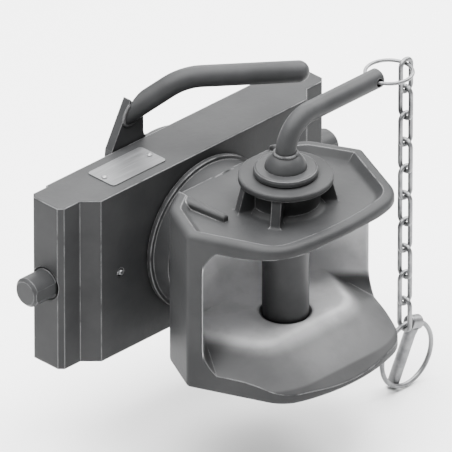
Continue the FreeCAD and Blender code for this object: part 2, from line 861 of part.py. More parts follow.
def make_pin_handle():
    axis_y = -size("pin_axis_y")
    foot = V(0, axis_y, size(HEAD_TOP + " - handle_socket + handle_radius"))
    corner = V(0, axis_y, size("handle_height"))
    end = V(size("handle_end_x"), axis_y, size("handle_height"))
    radius = size("handle_radius")
    chamfer = size("handle_chamfer")
    bend = min(size("handle_bend"), corner.z - foot.z - 0.5)
    bar = round_bar(bent_path([foot, corner, end], bend), radius)
    tip = Part.makeCylinder(2 * radius, 2 * chamfer, end - V(2 * chamfer, 0, 0), V(1, 0, 0))
    cone = Part.makeCone(radius + chamfer, radius - chamfer, 2 * chamfer,
                         end - V(2 * chamfer, 0, 0), V(1, 0, 0))
    bar = bar.cut(tip.cut(cone))
    hole_x = end.x - size("handle_hole_from_end")
    hole = Part.makeCylinder(size("handle_hole_radius"), 4 * radius,
                             V(hole_x, axis_y - 2 * radius, end.z), V(0, 1, 0))
    return shaped("pin_handle", bar.cut(hole))


def make_pin_bush(label, base, length):
    inner = "pin_radius + running_clearance"
    outer = "pin_radius + bush_wall"
    body = turned_body(label, "XZ_Plane", [
        (inner, "bush_chamfer"),
        (inner + " + bush_chamfer", "0"),
        (outer, "0"),
        (outer, length),
        (inner + " + bush_chamfer", length),
        (inner, length + " - bush_chamfer"),
    ])
    return placed(body, "0", "-pin_axis_y", base)


def make_handle_ring():
    ring = doc.addObject("Part::Torus", "handle_ring")
    ring.Label = "handle_ring"
    bind(ring, Radius1="ring_radius", Radius2="ring_wire_radius")
    middle = "handle_end_x - handle_hole_from_end - ring_hole_offset + ring_radius"
    return placed(ring, middle, "-pin_axis_y", "handle_height")


# Chain

CHAIN_X = "handle_end_x - handle_hole_from_end - ring_hole_offset + 2 * ring_radius"
LINK_HALF = "chain_straight / 2 + chain_bend_radius"
CHAIN_TOP = "handle_height + ring_wire_radius + chain_wire_radius + chain_gap"
CHAIN_PITCH = "chain_straight + 2 * chain_bend_radius - 2 * chain_wire_radius - chain_gap"
LINKS = 10


def make_link(number):
    """A link bent from round wire: two straight sides and two half rings."""
    label = "chain_link_%02d" % number
    parts = []
    for side in ("", "-"):
        bar = doc.addObject("Part::Cylinder", label + "_side")
        bind(bar, Radius="chain_wire_radius", Height="chain_straight")
        placed(bar, side + "chain_bend_radius", "0", "-chain_straight / 2")
        bend = doc.addObject("Part::Torus", label + "_bend")
        bind(bend, Radius1="chain_bend_radius", Radius2="chain_wire_radius")
        bend.Angle3 = 180
        tilt = 90 if side == "" else -90
        bend.Placement = FreeCAD.Placement(V(), FreeCAD.Rotation(V(1, 0, 0), tilt))
        bind(bend, Placement__Base__z=side + "chain_straight / 2")
        parts += [bar, bend]
    link = doc.addObject("Part::MultiFuse", label)
    link.Label = label
    link.Shapes = parts
    link.Refine = True
    turn = 0 if number % 2 else 90
    link.Placement = FreeCAD.Placement(V(), FreeCAD.Rotation(V(0, 0, 1), turn))
    height = "%s - (%s) - %d * (%s)" % (CHAIN_TOP, LINK_HALF, number - 1, CHAIN_PITCH)
    return placed(link, CHAIN_X, "-pin_axis_y", height)


# Linch pin and its snap ring

def linch_frame():
    """The bail's centre, its long direction, its cross direction and the pin head's centre."""
    tilt = math.radians(size("bail_tilt"))
    up = V(math.sin(tilt), 0, math.cos(tilt))
    across = V(math.cos(tilt), 0, -math.sin(tilt))
    radius = size("bail_radius")
    offset = size("bail_centre_offset")
    last_bottom = size("%s - 2 * (%s) - %d * (%s)" % (CHAIN_TOP, LINK_HALF, LINKS - 1, CHAIN_PITCH))
    hook = last_bottom + size("2 * chain_wire_radius + chain_gap")
    centre = V(size(CHAIN_X) + offset, -size("pin_axis_y"), hook - math.sqrt(radius ** 2 - offset ** 2))
    chord_half = size("bail_chord_half")
    head = centre + up * math.sqrt(radius ** 2 - chord_half ** 2)
    return centre, up, across, head


def make_bail():
    centre, up, across, head = linch_frame()
    chord_half = size("bail_chord_half")
    stub = size("bail_stub_gap")
    wire_radius = size("chain_wire_radius")
    left = head - across * chord_half
    right = head + across * chord_half
    bottom = centre - up * size("bail_radius")
    arc = Part.Wire(Part.Arc(left, bottom, right).toShape())
    bail = round_bar(arc, wire_radius)
    for kink, side in ((left, 1), (right, -1)):
        inner = chord_half - stub
        bail = bail.fuse(Part.makeCylinder(wire_radius, inner, kink, across * side))
        bail = bail.fuse(Part.makeSphere(wire_radius, kink))
    return shaped("linch_bail", bail.removeSplitter())


def make_linch_pin():
    centre, up, across, head = linch_frame()
    tilt = math.radians(size("linch_tilt"))
    along = up * -math.cos(tilt) + V(0, math.sin(tilt), 0)
    half = size("linch_head_half")
    radius = size("linch_head_radius")
    shaft_radius = size("linch_shaft_radius")
    length = size("linch_length")
    chamfer = size("linch_tip_chamfer")
    barrel = Part.makeCylinder(radius, 2 * half, head - across * half, across)
    rims = [edge for edge in barrel.Edges if isinstance(edge.Curve, Part.Circle)]
    barrel = barrel.makeFillet(radius * 0.15, rims)
    shaft = Part.makeCylinder(shaft_radius, length - chamfer, head, along)
    tip = Part.makeCone(shaft_radius, shaft_radius - chamfer, chamfer,
                        head + along * (length - chamfer), along)
    neck_start = head + along * (radius * 0.6)
    collar = Part.makeCone(size("linch_collar_radius"), shaft_radius,
                           size("linch_collar_length") + radius * 0.4, neck_start, along)
    pin = barrel.fuse([shaft, tip, collar]).removeSplitter()
    bore = Part.makeCylinder(size("chain_wire_radius + running_clearance"), 4 * half,
                             head - across * (2 * half), across)
    return shaped("linch_pin", pin.cut(bore))


# Jaw

def bowed_outline(right, rounding, front_y):
    """The jaw's plan: corners from the front to the back, and a bowed front edge."""
    left = [V(-point.x, point.y, 0) for point in reversed(right)]
    edges = [Part.Arc(left[-1], V(0, -front_y, 0), right[0]).toShape()]
    chain = right + left
    for start, end in zip(chain, chain[1:]):
        edges.append(Part.makeLine(start, end))
    block = Part.Face(Part.Wire(edges)).extrude(V(0, 0, size("jaw_top")))
    for corner, radius in rounding:
        for side in (1, -1):
            edge = upright_edge(block, V(side * corner.x, corner.y, 0))
            block = block.makeFillet(radius, [edge])
    return min(block.Faces, key=lambda face: face.CenterOfMass.z)


def rounded_plan(right):
    """A closed plan, the same on both sides, from corners with a radius each."""
    left = [(V(-point.x, point.y, 0), radius) for point, radius in reversed(right)]
    corners = right + left
    ends = []
    for index, (corner, radius) in enumerate(corners):
        inward = (corners[index - 1][0] - corner).normalize()
        outward = (corners[(index + 1) % len(corners)][0] - corner).normalize()
        half = inward.getAngle(outward) / 2
        back = radius / math.tan(half)
        middle = corner + (inward + outward).normalize() * (radius / math.sin(half) - radius)
        ends.append((corner + inward * back, middle, corner + outward * back))
    edges = []
    for index, (first, middle, last) in enumerate(ends):
        if corners[index][1] > 0:
            edges.append(Part.Arc(first, middle, last).toShape())
        edges.append(Part.makeLine(last, ends[(index + 1) % len(ends)][0]))
    return Part.Face(Part.Wire(edges))


def upright_edge(block, point):
    best = None
    for edge in block.Edges:
        middle = edge.CenterOfMass
        if abs(edge.Vertexes[0].Z - edge.Vertexes[-1].Z) < 1:
            continue
        distance = math.hypot(middle.x - point.x, middle.y - point.y)
        if best is None or distance < best[0]:
            best = (distance, edge)
    return best[1]


def flat_at(face, height):
    copy = face.copy()
    copy.translate(V(0, 0, height - copy.CenterOfMass.z))
    return copy


def prism(face, low, high):
    return flat_at(face, low).extrude(V(0, 0, high - low))


def lobe_outline(front_y, front_side_y):
    side = V(size("front_side_x"), -front_side_y, 0)
    cheek = V(size("cheek_front_x"), -size("cheek_front_y"), 0)
    shoulder = V(size("shoulder_x"), -size("shoulder_y"), 0)
    heel = V(size("heel_x"), -size("heel_y"), 0)
    root = V(size("root_x"), -size("root_y"), 0)
    corner = crossing(side, V(1, (front_y - front_side_y) * 2 / size("front_side_x"), 0),
                      cheek, shoulder - cheek)
    rounding = [
        (corner, size("front_corner")),
        (shoulder, size("shoulder_corner")),
        (heel, size("heel_corner")),
    ]
    return bowed_outline([corner, shoulder, heel, root], rounding, front_y)


def crossing(point, direction, other, other_direction):
    """Where two lines of the plan cross."""
    gap = other - point
    turn = direction.x * other_direction.y - direction.y * other_direction.x
    along = (gap.x * other_direction.y - gap.y * other_direction.x) / turn
    return point + direction * along


def jaw_lobes():
    upper = lobe_outline(size("upper_front_y"), size("upper_front_side_y"))
    lower = lobe_outline(size("lower_front_y"), size("lower_front_side_y"))
    top = size("jaw_top")
    bottom = -size("jaw_bottom")
    high = prism(upper, 0, top)
    high = high.makeFillet(size("jaw_top_edge"), edges_at_height(high, top))
    low = prism(lower, bottom, 0)
    low = low.makeFillet(size("jaw_bottom_edge"), edges_at_height(low, bottom))
    return high.fuse(low), upper


def edges_at_height(solid, height):
    return [
        edge for edge in solid.Edges
        if all(abs(vertex.Z - height) < 0.001 for vertex in edge.Vertexes)
    ]


def top_pocket(upper):
    """The shallow pan in the top, with sloping walls and an open rear."""
    floor = size("pocket_floor")
    top = size("jaw_top")
    rim = upper.makeOffset2D(-size("pocket_rim"))
    base = upper.makeOffset2D(-size("pocket_wall"))
    pan = Part.makeLoft([flat_at(base, floor).OuterWire, flat_at(rim, top).OuterWire], True, True)
    pan = pan.makeFillet(size("pocket_fillet"), edges_at_height(pan, floor))
    above = prism(rim, top, top + size("pocket_rim"))
    half_width = size("fin_x - fin_rear_half / 2")
    length = size("root_y + 2 * pocket_wall")
    gap = Part.makeBox(2 * half_width, length, top, V(-half_width, -length, floor))
    return pan.fuse([above, gap])


def boss_and_ribs():
    axis = V(0, -size("pin_axis_y"), 0)
    floor = size("pocket_floor")
    base = size("collar_base")
    top = size("collar_top")
    boss = Part.makeCylinder(size("boss_radius"), base - floor + 3, axis + V(0, 0, floor - 3))
    foot = size("boss_foot")
    ring = Part.makeCone(size("boss_radius") + foot, size("boss_radius"), foot, axis + V(0, 0, floor))
    collar = Part.makeCylinder(size("collar_radius"), top - base, axis + V(0, 0, base))
    collar = collar.makeFillet(size("collar_edge"), edges_at_height(collar, top))
    shape = boss.fuse([ring, collar])
    seat = Part.makeCylinder(size("rib_foot_radius + boss_foot"), 3, axis + V(0, 0, floor - 3))
    thick = size("rib_thick")
    outer = size("rib_foot_radius")
    inner = size("collar_radius") - 2
    angles = (-size("rib_front_angle"), 180 + size("rib_front_angle"),
              size("rib_rear_angle"), 180 - size("rib_rear_angle"))
    for angle in angles:
        corners = [
            V(0, -thick / 2, floor - 3), V(outer, -thick / 2, floor - 3),
            V(outer, -thick / 2, floor), V(inner, -thick / 2, base), V(0, -thick / 2, base),
        ]
        rib = Part.Face(Part.makePolygon(corners + corners[:1])).extrude(V(0, thick, 0))
        rib.rotate(V(), V(0, 0, 1), angle)
        rib.translate(axis)
        shape = shape.fuse(rib)
    shape = shape.fuse(seat).removeSplitter()
    feet = [
        edge for edge in edges_at_height(shape, floor)
        if max((v.Point - axis - V(0, 0, floor)).Length for v in edge.Vertexes) < outer + 1
    ]
    return shape.makeFillet(size("rib_foot_fillet"), feet)


def fins():
    """Two fore-and-aft fins on the pan's floor, wider and squarer towards the hub."""
    rear = -size("fin_rear_y")
    front = -size("fin_front_y")
    near = size("fin_front_half")
    far = size("fin_rear_half")
    outline = [
        V(size("fin_x") - far, rear, 0), V(size("fin_front_x") - near, front, 0),
        V(size("fin_front_x") + near, front, 0), V(size("fin_x") + far, rear, 0),
    ]
    top = size("jaw_top - 1")
    fin = prism(Part.Face(Part.makePolygon(outline + outline[:1])), size("pocket_floor - 5"), top)
    rims = [edge for edge in edges_at_height(fin, top) if edge.CenterOfMass.y < rear - 1]
    fin = fin.makeFillet(size("fin_top_edge"), rims)
    return fin.fuse(fin.mirror(V(), V(1, 0, 0)))


def slanted_side():
    """The direction of the jaw's slanted side, rearwards, and its outward normal."""
    cheek = V(size("cheek_front_x"), -size("cheek_front_y"), 0)
    shoulder = V(size("shoulder_x"), -size("shoulder_y"), 0)
    along = (shoulder - cheek).normalize()
    return along, V(along.y, -along.x, 0)


def plateau_plan(spread):
    """The plateau's outline, moved outwards at its front and sides."""
    along, outward = slanted_side()
    side = V(size("plateau_side_x"), -size("plateau_side_y"), 0) + outward * spread
    front = -size("plateau_front_y") - spread
    rear = -size("hub_face_y")
    corner = side + along * ((front - side.y) / along.y)
    heel = side + along * ((rear - side.y) / along.y)
    return rounded_plan([(corner, size("plateau_corner") + spread), (heel, 0)])


def flared_block(sign):
    """The metal above or below the mouth: flat over the pin, then sloping away all round."""
    deepest = max(size("jaw_top"), size("jaw_bottom"))
    spread = 1.2 * (deepest - size("plateau_z")) / size("funnel_slope")
    near = sign * size("plateau_z")
    far = near + sign * spread * size("funnel_slope")
    wires = [
        flat_at(plateau_plan(0), near).OuterWire,
        flat_at(plateau_plan(spread), far).OuterWire,
    ]
    block = Part.makeLoft(wires, True, True)
    rims = [edge for edge in edges_at_height(block, near) if edge.CenterOfMass.y < -size("heel_y")]
    return block.makeFillet(size("plateau_round"), rims)


def mouth_corners():
    """The rear corner of the mouth's plan and the direction of its side wall, forwards."""
    rear = V(size("mouth_rear_x"), -size("mouth_rear_y"), 0)
    wall = V(size("mouth_wall_x"), -size("mouth_wall_y"), 0)
    return rear, (wall - rear).normalize()


def mouth_void():
    rear, forward = mouth_corners()
    side = rear + forward * size("lower_front_y - mouth_rear_y") * 0.75
    front = V(side.x, -size("1.2 * lower_front_y"), 0)
    plan = rounded_plan([(front, 0), (side, 0), (rear, size("mouth_corner"))])
    high = max(size("jaw_top"), size("jaw_bottom")) + 1
    return prism(plan, -high, high).cut([flared_block(1), flared_block(-1)])


def mouth_cove():
    """The hollow rounding where the mouth's walls meet its roof, on the right half."""
    rear, forward = mouth_corners()
    along, outward = slanted_side()
    side = V(size("plateau_side_x"), -size("plateau_side_y"), 0)
    plateau = V(0, 0, size("plateau_z"))
    flat_end = crossing(rear, forward, side, along) + plateau
    run = forward * size("lower_front_y - mouth_rear_y") * 0.6
    far = flat_end + run + V(0, 0, run.dot(outward) * size("funnel_slope"))
    path = bent_path([far, flat_end, rear + plateau, V(0, rear.y, 0) + plateau], size("mouth_corner"))
    radius = size("mouth_cove")
    sunk = size("cove_root")
    inwards = (flat_end - far).normalize()
    out = V(-inwards.y, inwards.x, 0).normalize()
    if out.x < 0:
        out = out * -1
    up = (V(0, 0, 1) - inwards * inwards.z).normalize()

    def spot(across, height):
        return far + out * across + up * height

    bow = radius * (1 - math.sqrt(0.5))
    profile = Part.Wire([
        Part.makeLine(spot(sunk, sunk), spot(-radius, sunk)),
        Part.makeLine(spot(-radius, sunk), spot(-radius, 0)),
        Part.Arc(spot(-radius, 0), spot(-bow, -bow), spot(0, -radius)).toShape(),
        Part.makeLine(spot(0, -radius), spot(sunk, -radius)),
        Part.makeLine(spot(sunk, -radius), spot(sunk, sunk)),
    ])
    sweep = Part.BRepOffsetAPI.MakePipeShell(path)
    sweep.setBiNormalMode(V(0, 0, 1))
    sweep.add(profile, False, False)
    sweep.build()
    sweep.makeSolid()
    return sweep.shape()


def revolved(points):
    """A solid turned about the jaw's turning axis, from radii and places along Y."""
    corners = [V(radius, along, 0) for radius, along in points]
    profile = Part.Face(Part.makePolygon(corners + corners[:1]))
    return profile.revolve(V(), V(0, 1, 0), 360)


def jaw_hub():
    face = -size("hub_face_y")
    step = face - size("flange_thick")
    front = -size("hub_front_y")
    return revolved([
        (0, front), (size("hub_radius"), front), (size("hub_radius"), step),
        (size("flange_radius"), step), (size("flange_radius"), face), (0, face),
    ])


def make_jaw_shank():
    """The turned shank: a spigot pressed into the hub, two bearing steps and the nut's end."""
    face = -size("hub_face_y")
    step = -size("front_bush_rear_y + collar_proud")
    thread = size(NUT_FRONT)
    end = size("shank_end_y")
    thread_radius = size("thread_radius")
    chamfer = size("pin_tail_chamfer")
    shank = revolved([
        (0, -size("spigot_front_y")), (size("spigot_radius"), -size("spigot_front_y")),
        (size("spigot_radius"), face), (size("shank_front_radius"), face),
        (size("shank_front_radius"), step), (size("shank_radius"), step),
        (size("shank_radius"), thread), (thread_radius, thread),
        (thread_radius, end - chamfer), (thread_radius - chamfer, end), (0, end),
    ])
    reach = size("2 * thread_radius")
    hole = Part.makeCylinder(size("cotter_radius + slide_clearance"), 2 * reach,
                             V(0, size(COTTER_Y), -reach))
    return shaped("jaw_shank", shank.cut(hole))


def make_jaw():
    axis = V(0, -size("pin_axis_y"), 0)
    lobes, upper = jaw_lobes()
    jaw = lobes.cut([top_pocket(upper), mouth_void()])
    cove = mouth_cove().common(lobes)
    ridges = fins().common(lobes)
    for normal in (V(0, 0, 1), V(1, 0, 0)):
        cove = cove.fuse(cove.mirror(V(), normal))
    jaw = jaw.fuse([cove, ridges, jaw_hub(), boss_and_ribs()])
    bore = size("pin_radius + bush_wall + press_clearance")
    deep = size("jaw_bottom + collar_top")
    jaw = jaw.cut(Part.makeCylinder(bore, deep, axis - V(0, 0, size("jaw_bottom"))))
    socket = Part.makeCylinder(size("spigot_radius + press_clearance"), size("spigot_front_y"),
                               V(0, -size("spigot_front_y + press_clearance"), 0), V(0, 1, 0))
    return shaped("coupling_jaw", jaw.cut(socket))


# The whole coupling

def make_all():
    nodes = [
        make_slide_plate(), make_data_plate(), make_rivets(), make_nipples(),
        make_friction_disc(), make_front_bush(), make_rear_bush(),
        make_lever_plate(), make_lever_rod(), make_lever_spring(),
        make_lock_pin("left_lock_pin", "-"), make_lock_pin("right_lock_pin", ""),
        make_follower("left_follower", "-"), make_follower("right_follower", ""),
        make_jaw(), make_jaw_shank(), make_thrust_washer(), make_disc_springs(), make_castle_nut(), make_cotter_pin(),
        make_pin_bush("upper_pin_bush", "plateau_z", "collar_top - plateau_z"),
        make_pin_bush("lower_pin_bush", "-jaw_bottom", "jaw_bottom - plateau_z"),
        make_coupling_pin(), make_pin_handle(), make_handle_ring(),
    ]
    nodes += [make_link(number) for number in range(1, LINKS + 1)]
    nodes += [make_bail(), make_linch_pin()]
    return nodes


def write_parts(nodes):
    doc.recompute()
    for thing in doc.Objects:
        if "Invalid" in thing.State or "Error" in thing.State:
            raise RuntimeError("%s did not build: %s" % (thing.Label, thing.State))
    for node in nodes:
        if node.Shape.isNull() or not node.Shape.isValid():
            raise RuntimeError("%s has no valid shape" % node.Label)
    os.makedirs("parts", exist_ok=True)
    for node in nodes:
        node.Shape.exportStep("parts/%s.step" % node.Label)


write_parts(make_all())
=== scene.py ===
import json
import math

import bmesh
import bpy
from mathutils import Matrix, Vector


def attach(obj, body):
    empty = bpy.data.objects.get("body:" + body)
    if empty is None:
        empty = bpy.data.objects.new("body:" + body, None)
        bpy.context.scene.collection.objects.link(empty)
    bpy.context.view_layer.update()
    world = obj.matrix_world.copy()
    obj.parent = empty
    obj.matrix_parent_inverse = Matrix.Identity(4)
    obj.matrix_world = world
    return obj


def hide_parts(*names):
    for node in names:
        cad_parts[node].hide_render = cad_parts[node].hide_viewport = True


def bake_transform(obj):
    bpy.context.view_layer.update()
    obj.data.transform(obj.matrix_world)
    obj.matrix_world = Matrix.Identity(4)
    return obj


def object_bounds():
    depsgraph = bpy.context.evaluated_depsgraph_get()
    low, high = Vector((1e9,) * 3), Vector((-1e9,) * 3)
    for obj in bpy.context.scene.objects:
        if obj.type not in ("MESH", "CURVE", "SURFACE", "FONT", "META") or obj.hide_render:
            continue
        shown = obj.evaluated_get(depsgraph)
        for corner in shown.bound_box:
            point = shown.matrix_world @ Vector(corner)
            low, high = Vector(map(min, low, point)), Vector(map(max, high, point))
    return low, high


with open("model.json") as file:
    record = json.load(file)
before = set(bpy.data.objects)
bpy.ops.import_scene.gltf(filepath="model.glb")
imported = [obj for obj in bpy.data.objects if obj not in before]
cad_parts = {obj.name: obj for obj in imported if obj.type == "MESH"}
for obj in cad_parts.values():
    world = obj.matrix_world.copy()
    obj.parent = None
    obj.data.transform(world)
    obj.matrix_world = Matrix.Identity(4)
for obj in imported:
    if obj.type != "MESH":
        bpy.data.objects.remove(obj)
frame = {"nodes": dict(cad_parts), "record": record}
cad_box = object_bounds()

# A clevis coupling on a slide plate: dark grey paint on cast and rolled steel, a plated chain,
# and bare steel and bronze where parts run on each other.
#
# Lengths are in metres, in the frame of the solids: X to the right, Y to the rear and Z up,
# seen from in front of the mouth.

MM = 0.001

# The photograph's view, from so far off that hardly anything narrows with distance
PHOTO_AZIMUTH = -45.0
PHOTO_ELEVATION = 30.0
PHOTO_PIXELS = 452
PIXELS_PER_METRE = 1244.7
PHOTO_CENTRE = Vector((16.9, -37.1, 0.0)) * MM
LENS = 1600.0
SENSOR = 36.0
CLIP_BEYOND = 10  # times the camera's distance

# The studio
FLOOR_DROP = 0.3 * MM
FLOOR_REACH = 40.0
SKY_STRENGTH = 0.35
AREA_LIGHTS = [
    # name, place, aimed at, side, power in watts
    ("overhead", (-0.2, 0.1, 1.6), (0.0, -0.05, 0.0), 2.2, 215.0),
    ("right_top", (1.4, -0.2, 1.3), (0.0, -0.1, 0.0), 1.0, 75.0),
    ("rear_sheen", (1.3, 1.3, 1.1), (0.0, -0.05, 0.0), 1.2, 45.0),
    ("left_fill", (-1.6, 0.2, 0.5), (0.0, -0.05, 0.0), 0.9, 5.0),
]

# The jaw's mouth, between its floor and its roof, widening from its rear wall to the front
MOUTH_REAR_X = 60 * MM
MOUTH_REAR_Y = -60 * MM
MOUTH_FLARE = 32 / 58
MOUTH_HALF_HEIGHT = 37 * MM

# Where its wear, and the painted light inside the mouth, fade out
LEVEL_FADE = 9 * MM
WALL_FADE = (0.2 * MM, 0.6 * MM)
REAR_FADE = 6 * MM
FUNNEL_TILT = (0.10, 0.35)
FUNNEL_END = (60 * MM, 61.5 * MM)
FUNNEL_FADE = (35 * MM, 85 * MM)

# The hollow rounds along its rear wall
COVE_RADIUS = 20.5 * MM
COVE_SUNK = 0.08 * MM
COVE_HALF_WIDTH = 52 * MM
COVE_RUN_ON = 5 * MM
COVE_BACK = 1 * MM
COVE_STEPS = 18

# The lever's rod, from its foot to its first bend, and its weld
ROD_FOOT = Vector((-25.4, 21.5, 103.7)) * MM
ROD_CORNER = Vector((4.6, -1.5, 128.4)) * MM
ROD_RADIUS = 9 * MM
ROD_WELD_BEAD = 1.5 * MM
ROD_WELD_PITCH = 1.1 * MM
ROD_WELD_HALF_ARC = 78  # degrees
ROD_WELD_POINTS = 40

# The towing pin's head, its handle and the handle's weld
PIN_AXIS_Y = -121.5 * MM
DOME_RADIUS = 17.45 * MM
DOME_CENTRE_Z = 93.5 * MM
DOME_SINK = 2.5 * MM
DOME_WALL = 1.2 * MM
DOME_RINGS = 24
DOME_SIDES = 96
HANDLE_FOOT = Vector((0.0, PIN_AXIS_Y, 108.7 * MM))
HANDLE_RADIUS = 8.25 * MM
HANDLE_WELD_OUT = 0.7 * MM
HANDLE_WELD_BEAD = 1.7 * MM
HANDLE_WELD_PITCH = 1.3 * MM
HANDLE_WELD_POINTS = 61

# The ripples of both welds
RIPPLE_SQUEEZE = 0.62
RIPPLE_DETAIL = 3

# The lever's return spring
SPRING_X = 50 * MM
SPRING_Y = 37 * MM
SPRING_TOP_Z = 16 * MM
SPRING_BOTTOM_Z = -62 * MM
SPRING_RADIUS = 5.4 * MM
SPRING_WIRE = 1.6 * MM
SPRING_EYE = 4.9 * MM
SPRING_TURNS = 14
SPRING_TURN_STEPS = 24
SPRING_EYE_STEPS = 40
SPRING_WIRE_SIDES = 14

# The shank's thread
NUT_REAR_Y = 63 * MM
SHANK_CHAMFER_Y = 64 * MM
THREAD_IN_NUT = 6 * MM
THREAD_RADIUS = 18 * MM
THREAD_PITCH = 1.5 * MM
THREAD_RIDGE = 0.5 * MM
THREAD_TURN_STEPS = 64
THREAD_RIDGE_SIDES = 6


class Value:
    """A node's output that takes part in Python sums, which add their own nodes."""

    def __init__(self, graph, socket):
        self.graph = graph
        self.socket = socket

    def _math(self, operation, first, second):
        return self.graph.node("ShaderNodeMath", {"operation": operation},
                               {0: first, 1: second})["Value"]

    def __add__(self, other):
        return self._math("ADD", self, other)

    def __radd__(self, other):
        return self._math("ADD", other, self)

    def __sub__(self, other):
        return self._math("SUBTRACT", self, other)

    def __rsub__(self, other):
        return self._math("SUBTRACT", other, self)

    def __mul__(self, other):
        return self._math("MULTIPLY", self, other)

    def __rmul__(self, other):
        return self._math("MULTIPLY", other, self)

    def __truediv__(self, other):
        return self._math("DIVIDE", self, other)

    def __pow__(self, other):
        return self._math("POWER", self, other)

    def __neg__(self):
        return self._math("MULTIPLY", self, -1.0)

    def largest(self, other):
        return self._math("MAXIMUM", self, other)

    def sign(self):
        return self._math("SIGN", self, 0.0)

    def size(self):
        return self._math("ABSOLUTE", self, 0.0)

    def above(self, low, high):
        """0 at low and 1 at high, smooth between."""
        return self.graph.node("ShaderNodeMapRange", {"interpolation_type": "SMOOTHSTEP"},
                               {"Value": self, "From Min": low, "From Max": high})["Result"]


class Graph:
    """A node tree under construction."""

    def __init__(self, tree):
        self.tree = tree

    def node(self, kind, settings, sockets):
        """Makes a node, sets it, fills or links its inputs, and returns its outputs by name.

        An input goes by its name, or by its place where names repeat.
        """
        made = self.tree.nodes.new(kind)
        for name, value in settings.items():
            setattr(made, name, value)
        named = {socket.name: socket for socket in made.inputs if socket.enabled}
        for key, value in sockets.items():
            self.fill(made.inputs[key] if isinstance(key, int) else named[key], value)
        return {socket.name: Value(self, socket) for socket in made.outputs if socket.enabled}

    def fill(self, socket, value):
        """Links a value, or each of a list, to a socket, or sets the socket to a constant."""
        for part in value if isinstance(value, list) else [value]:
            if isinstance(part, Value):
                self.tree.links.new(part.socket, socket)
            else:
                socket.default_value = part


class Paint(Graph):
    """A surface finish."""

    # Rays that feel for nearby faces, and where the edge and crevice masks start and end
    RAYS = 6
    EDGE_TURN = (0.004, 0.07)
    CREVICE_DEPTH = (0.12, 0.75)

    def __init__(self, name):
        self.material = bpy.data.materials.new(name)
        self.material.use_nodes = True
        super().__init__(self.material.node_tree)
        self.shader = self.tree.nodes["Principled BSDF"]

    def set(self, **inputs):
        for name, value in inputs.items():
            self.fill(self.shader.inputs[name.replace("_", " ")], value)

    def place(self):
        return self.node("ShaderNodeTexCoord", {}, {})["Object"]

    def facing(self):
        return self.node("ShaderNodeTexCoord", {}, {})["Normal"]

    def parts(self, vector):
        """A vector's X, Y and Z."""
        return list(self.node("ShaderNodeSeparateXYZ", {}, {"Vector": vector}).values())

    def noise(self, scale, detail=4.0, roughness=0.55, stretch=None):
        """Cloudy values around one half, finer along an axis where its stretch is larger."""
        where = self.place()
        if stretch is not None:
            where = self.node("ShaderNodeMapping", {},
                              {"Vector": where, "Scale": stretch})["Vector"]
        sockets = {"Vector": where, "Scale": scale, "Detail": detail, "Roughness": roughness}
        return self.node("ShaderNodeTexNoise", {}, sockets)["Fac"]

    def mix(self, factor, first, second):
        """The first colour where the factor is 0, and the second where it is 1."""
        return self.node("ShaderNodeMix", {"data_type": "RGBA"},
                         {"Factor": factor, "A": first, "B": second})["Result"]

    def rounded_normal(self, radius):
        return self.node("ShaderNodeBevel", {"samples": self.RAYS},
                         {"Radius": radius})["Normal"]

    def edges(self, radius):
        """1 on sharp edges, 0 on open faces."""
        soft = self.rounded_normal(radius)
        flat = self.node("ShaderNodeNewGeometry", {}, {})["Normal"]
        same = self.node("ShaderNodeVectorMath", {"operation": "DOT_PRODUCT"},
                         {0: soft, 1: flat})["Value"]
        return (1.0 - same).above(*self.EDGE_TURN)

    def crevices(self, reach):
        """1 deep in corners and gaps, 0 on open faces: where the finishes paint shade."""
        open_sky = self.node("ShaderNodeAmbientOcclusion", {"samples": self.RAYS},
                             {"Distance": reach})["AO"]
        return (1.0 - open_sky).above(*self.CREVICE_DEPTH)

    def bump(self, height, strength, distance, rounding=None):
        """A relief, over edges that look rounded by a radius where one is given."""
        sockets = {"Height": height, "Strength": strength, "Distance": distance}
        if rounding is not None:
            sockets["Normal"] = self.rounded_normal(rounding)
        self.set(Normal=self.node("ShaderNodeBump", {}, sockets)["Normal"])


def add_object(name, data):
    """A new object in the scene, at the origin."""
    added = bpy.data.objects.new(name, data)
    bpy.context.scene.collection.objects.link(added)
    return added


class Form(Graph):
    """A geometry tree with named sizes, which makes plain meshes."""

    def __init__(self, name, sizes):
        super().__init__(bpy.data.node_groups.new(name, "GeometryNodeTree"))
        self.keys = {}
        add = self.tree.interface.new_socket
        for label, value in {"Path": None, **sizes}.items():
            kind = {type(None): "Geometry", int: "Int", float: "Float"}[type(value)]
            socket = add(label, in_out="INPUT", socket_type="NodeSocket" + kind)
            if value is not None:
                socket.default_value = value
            self.keys[label] = socket.identifier
        add("Form", in_out="OUTPUT", socket_type="NodeSocketGeometry")
        given = self.tree.nodes.new("NodeGroupInput")
        self.sizes = {label: Value(self, given.outputs[label]) for label in self.keys}

    def close(self, geometry, material):
        """Ends the tree: instances made real, shaded smooth, in one finish."""
        real = self.node("GeometryNodeRealizeInstances", {}, {"Geometry": geometry})["Geometry"]
        smooth = self.node("GeometryNodeSetShadeSmooth", {}, {"Geometry": real})["Geometry"]
        dressed = self.node("GeometryNodeSetMaterial", {},
                            {"Geometry": smooth, "Material": material})["Geometry"]
        self.node("NodeGroupOutput", {}, {0: dressed})

    def make(self, name, path, **sizes):
        """A mesh piece made by the tree along a path."""
        source = bpy.data.meshes.new(name + "_path")
        source.from_pydata(path, [(step, step + 1) for step in range(len(path) - 1)], [])
        piece = add_object(name, source)
        modifier = piece.modifiers.new("form", "NODES")
        modifier.node_group = self.tree
        for label, value in sizes.items():
            modifier[self.keys[label.replace("_", " ")]] = value
        ready = piece.evaluated_get(bpy.context.evaluated_depsgraph_get())
        mesh = bpy.data.meshes.new_from_object(ready)
        piece.modifiers.remove(modifier)
        piece.data = mesh
        bpy.data.meshes.remove(source)
        return piece


# Finishes

def rgb(red, green, blue):
    return (red, green, blue, 1.0)


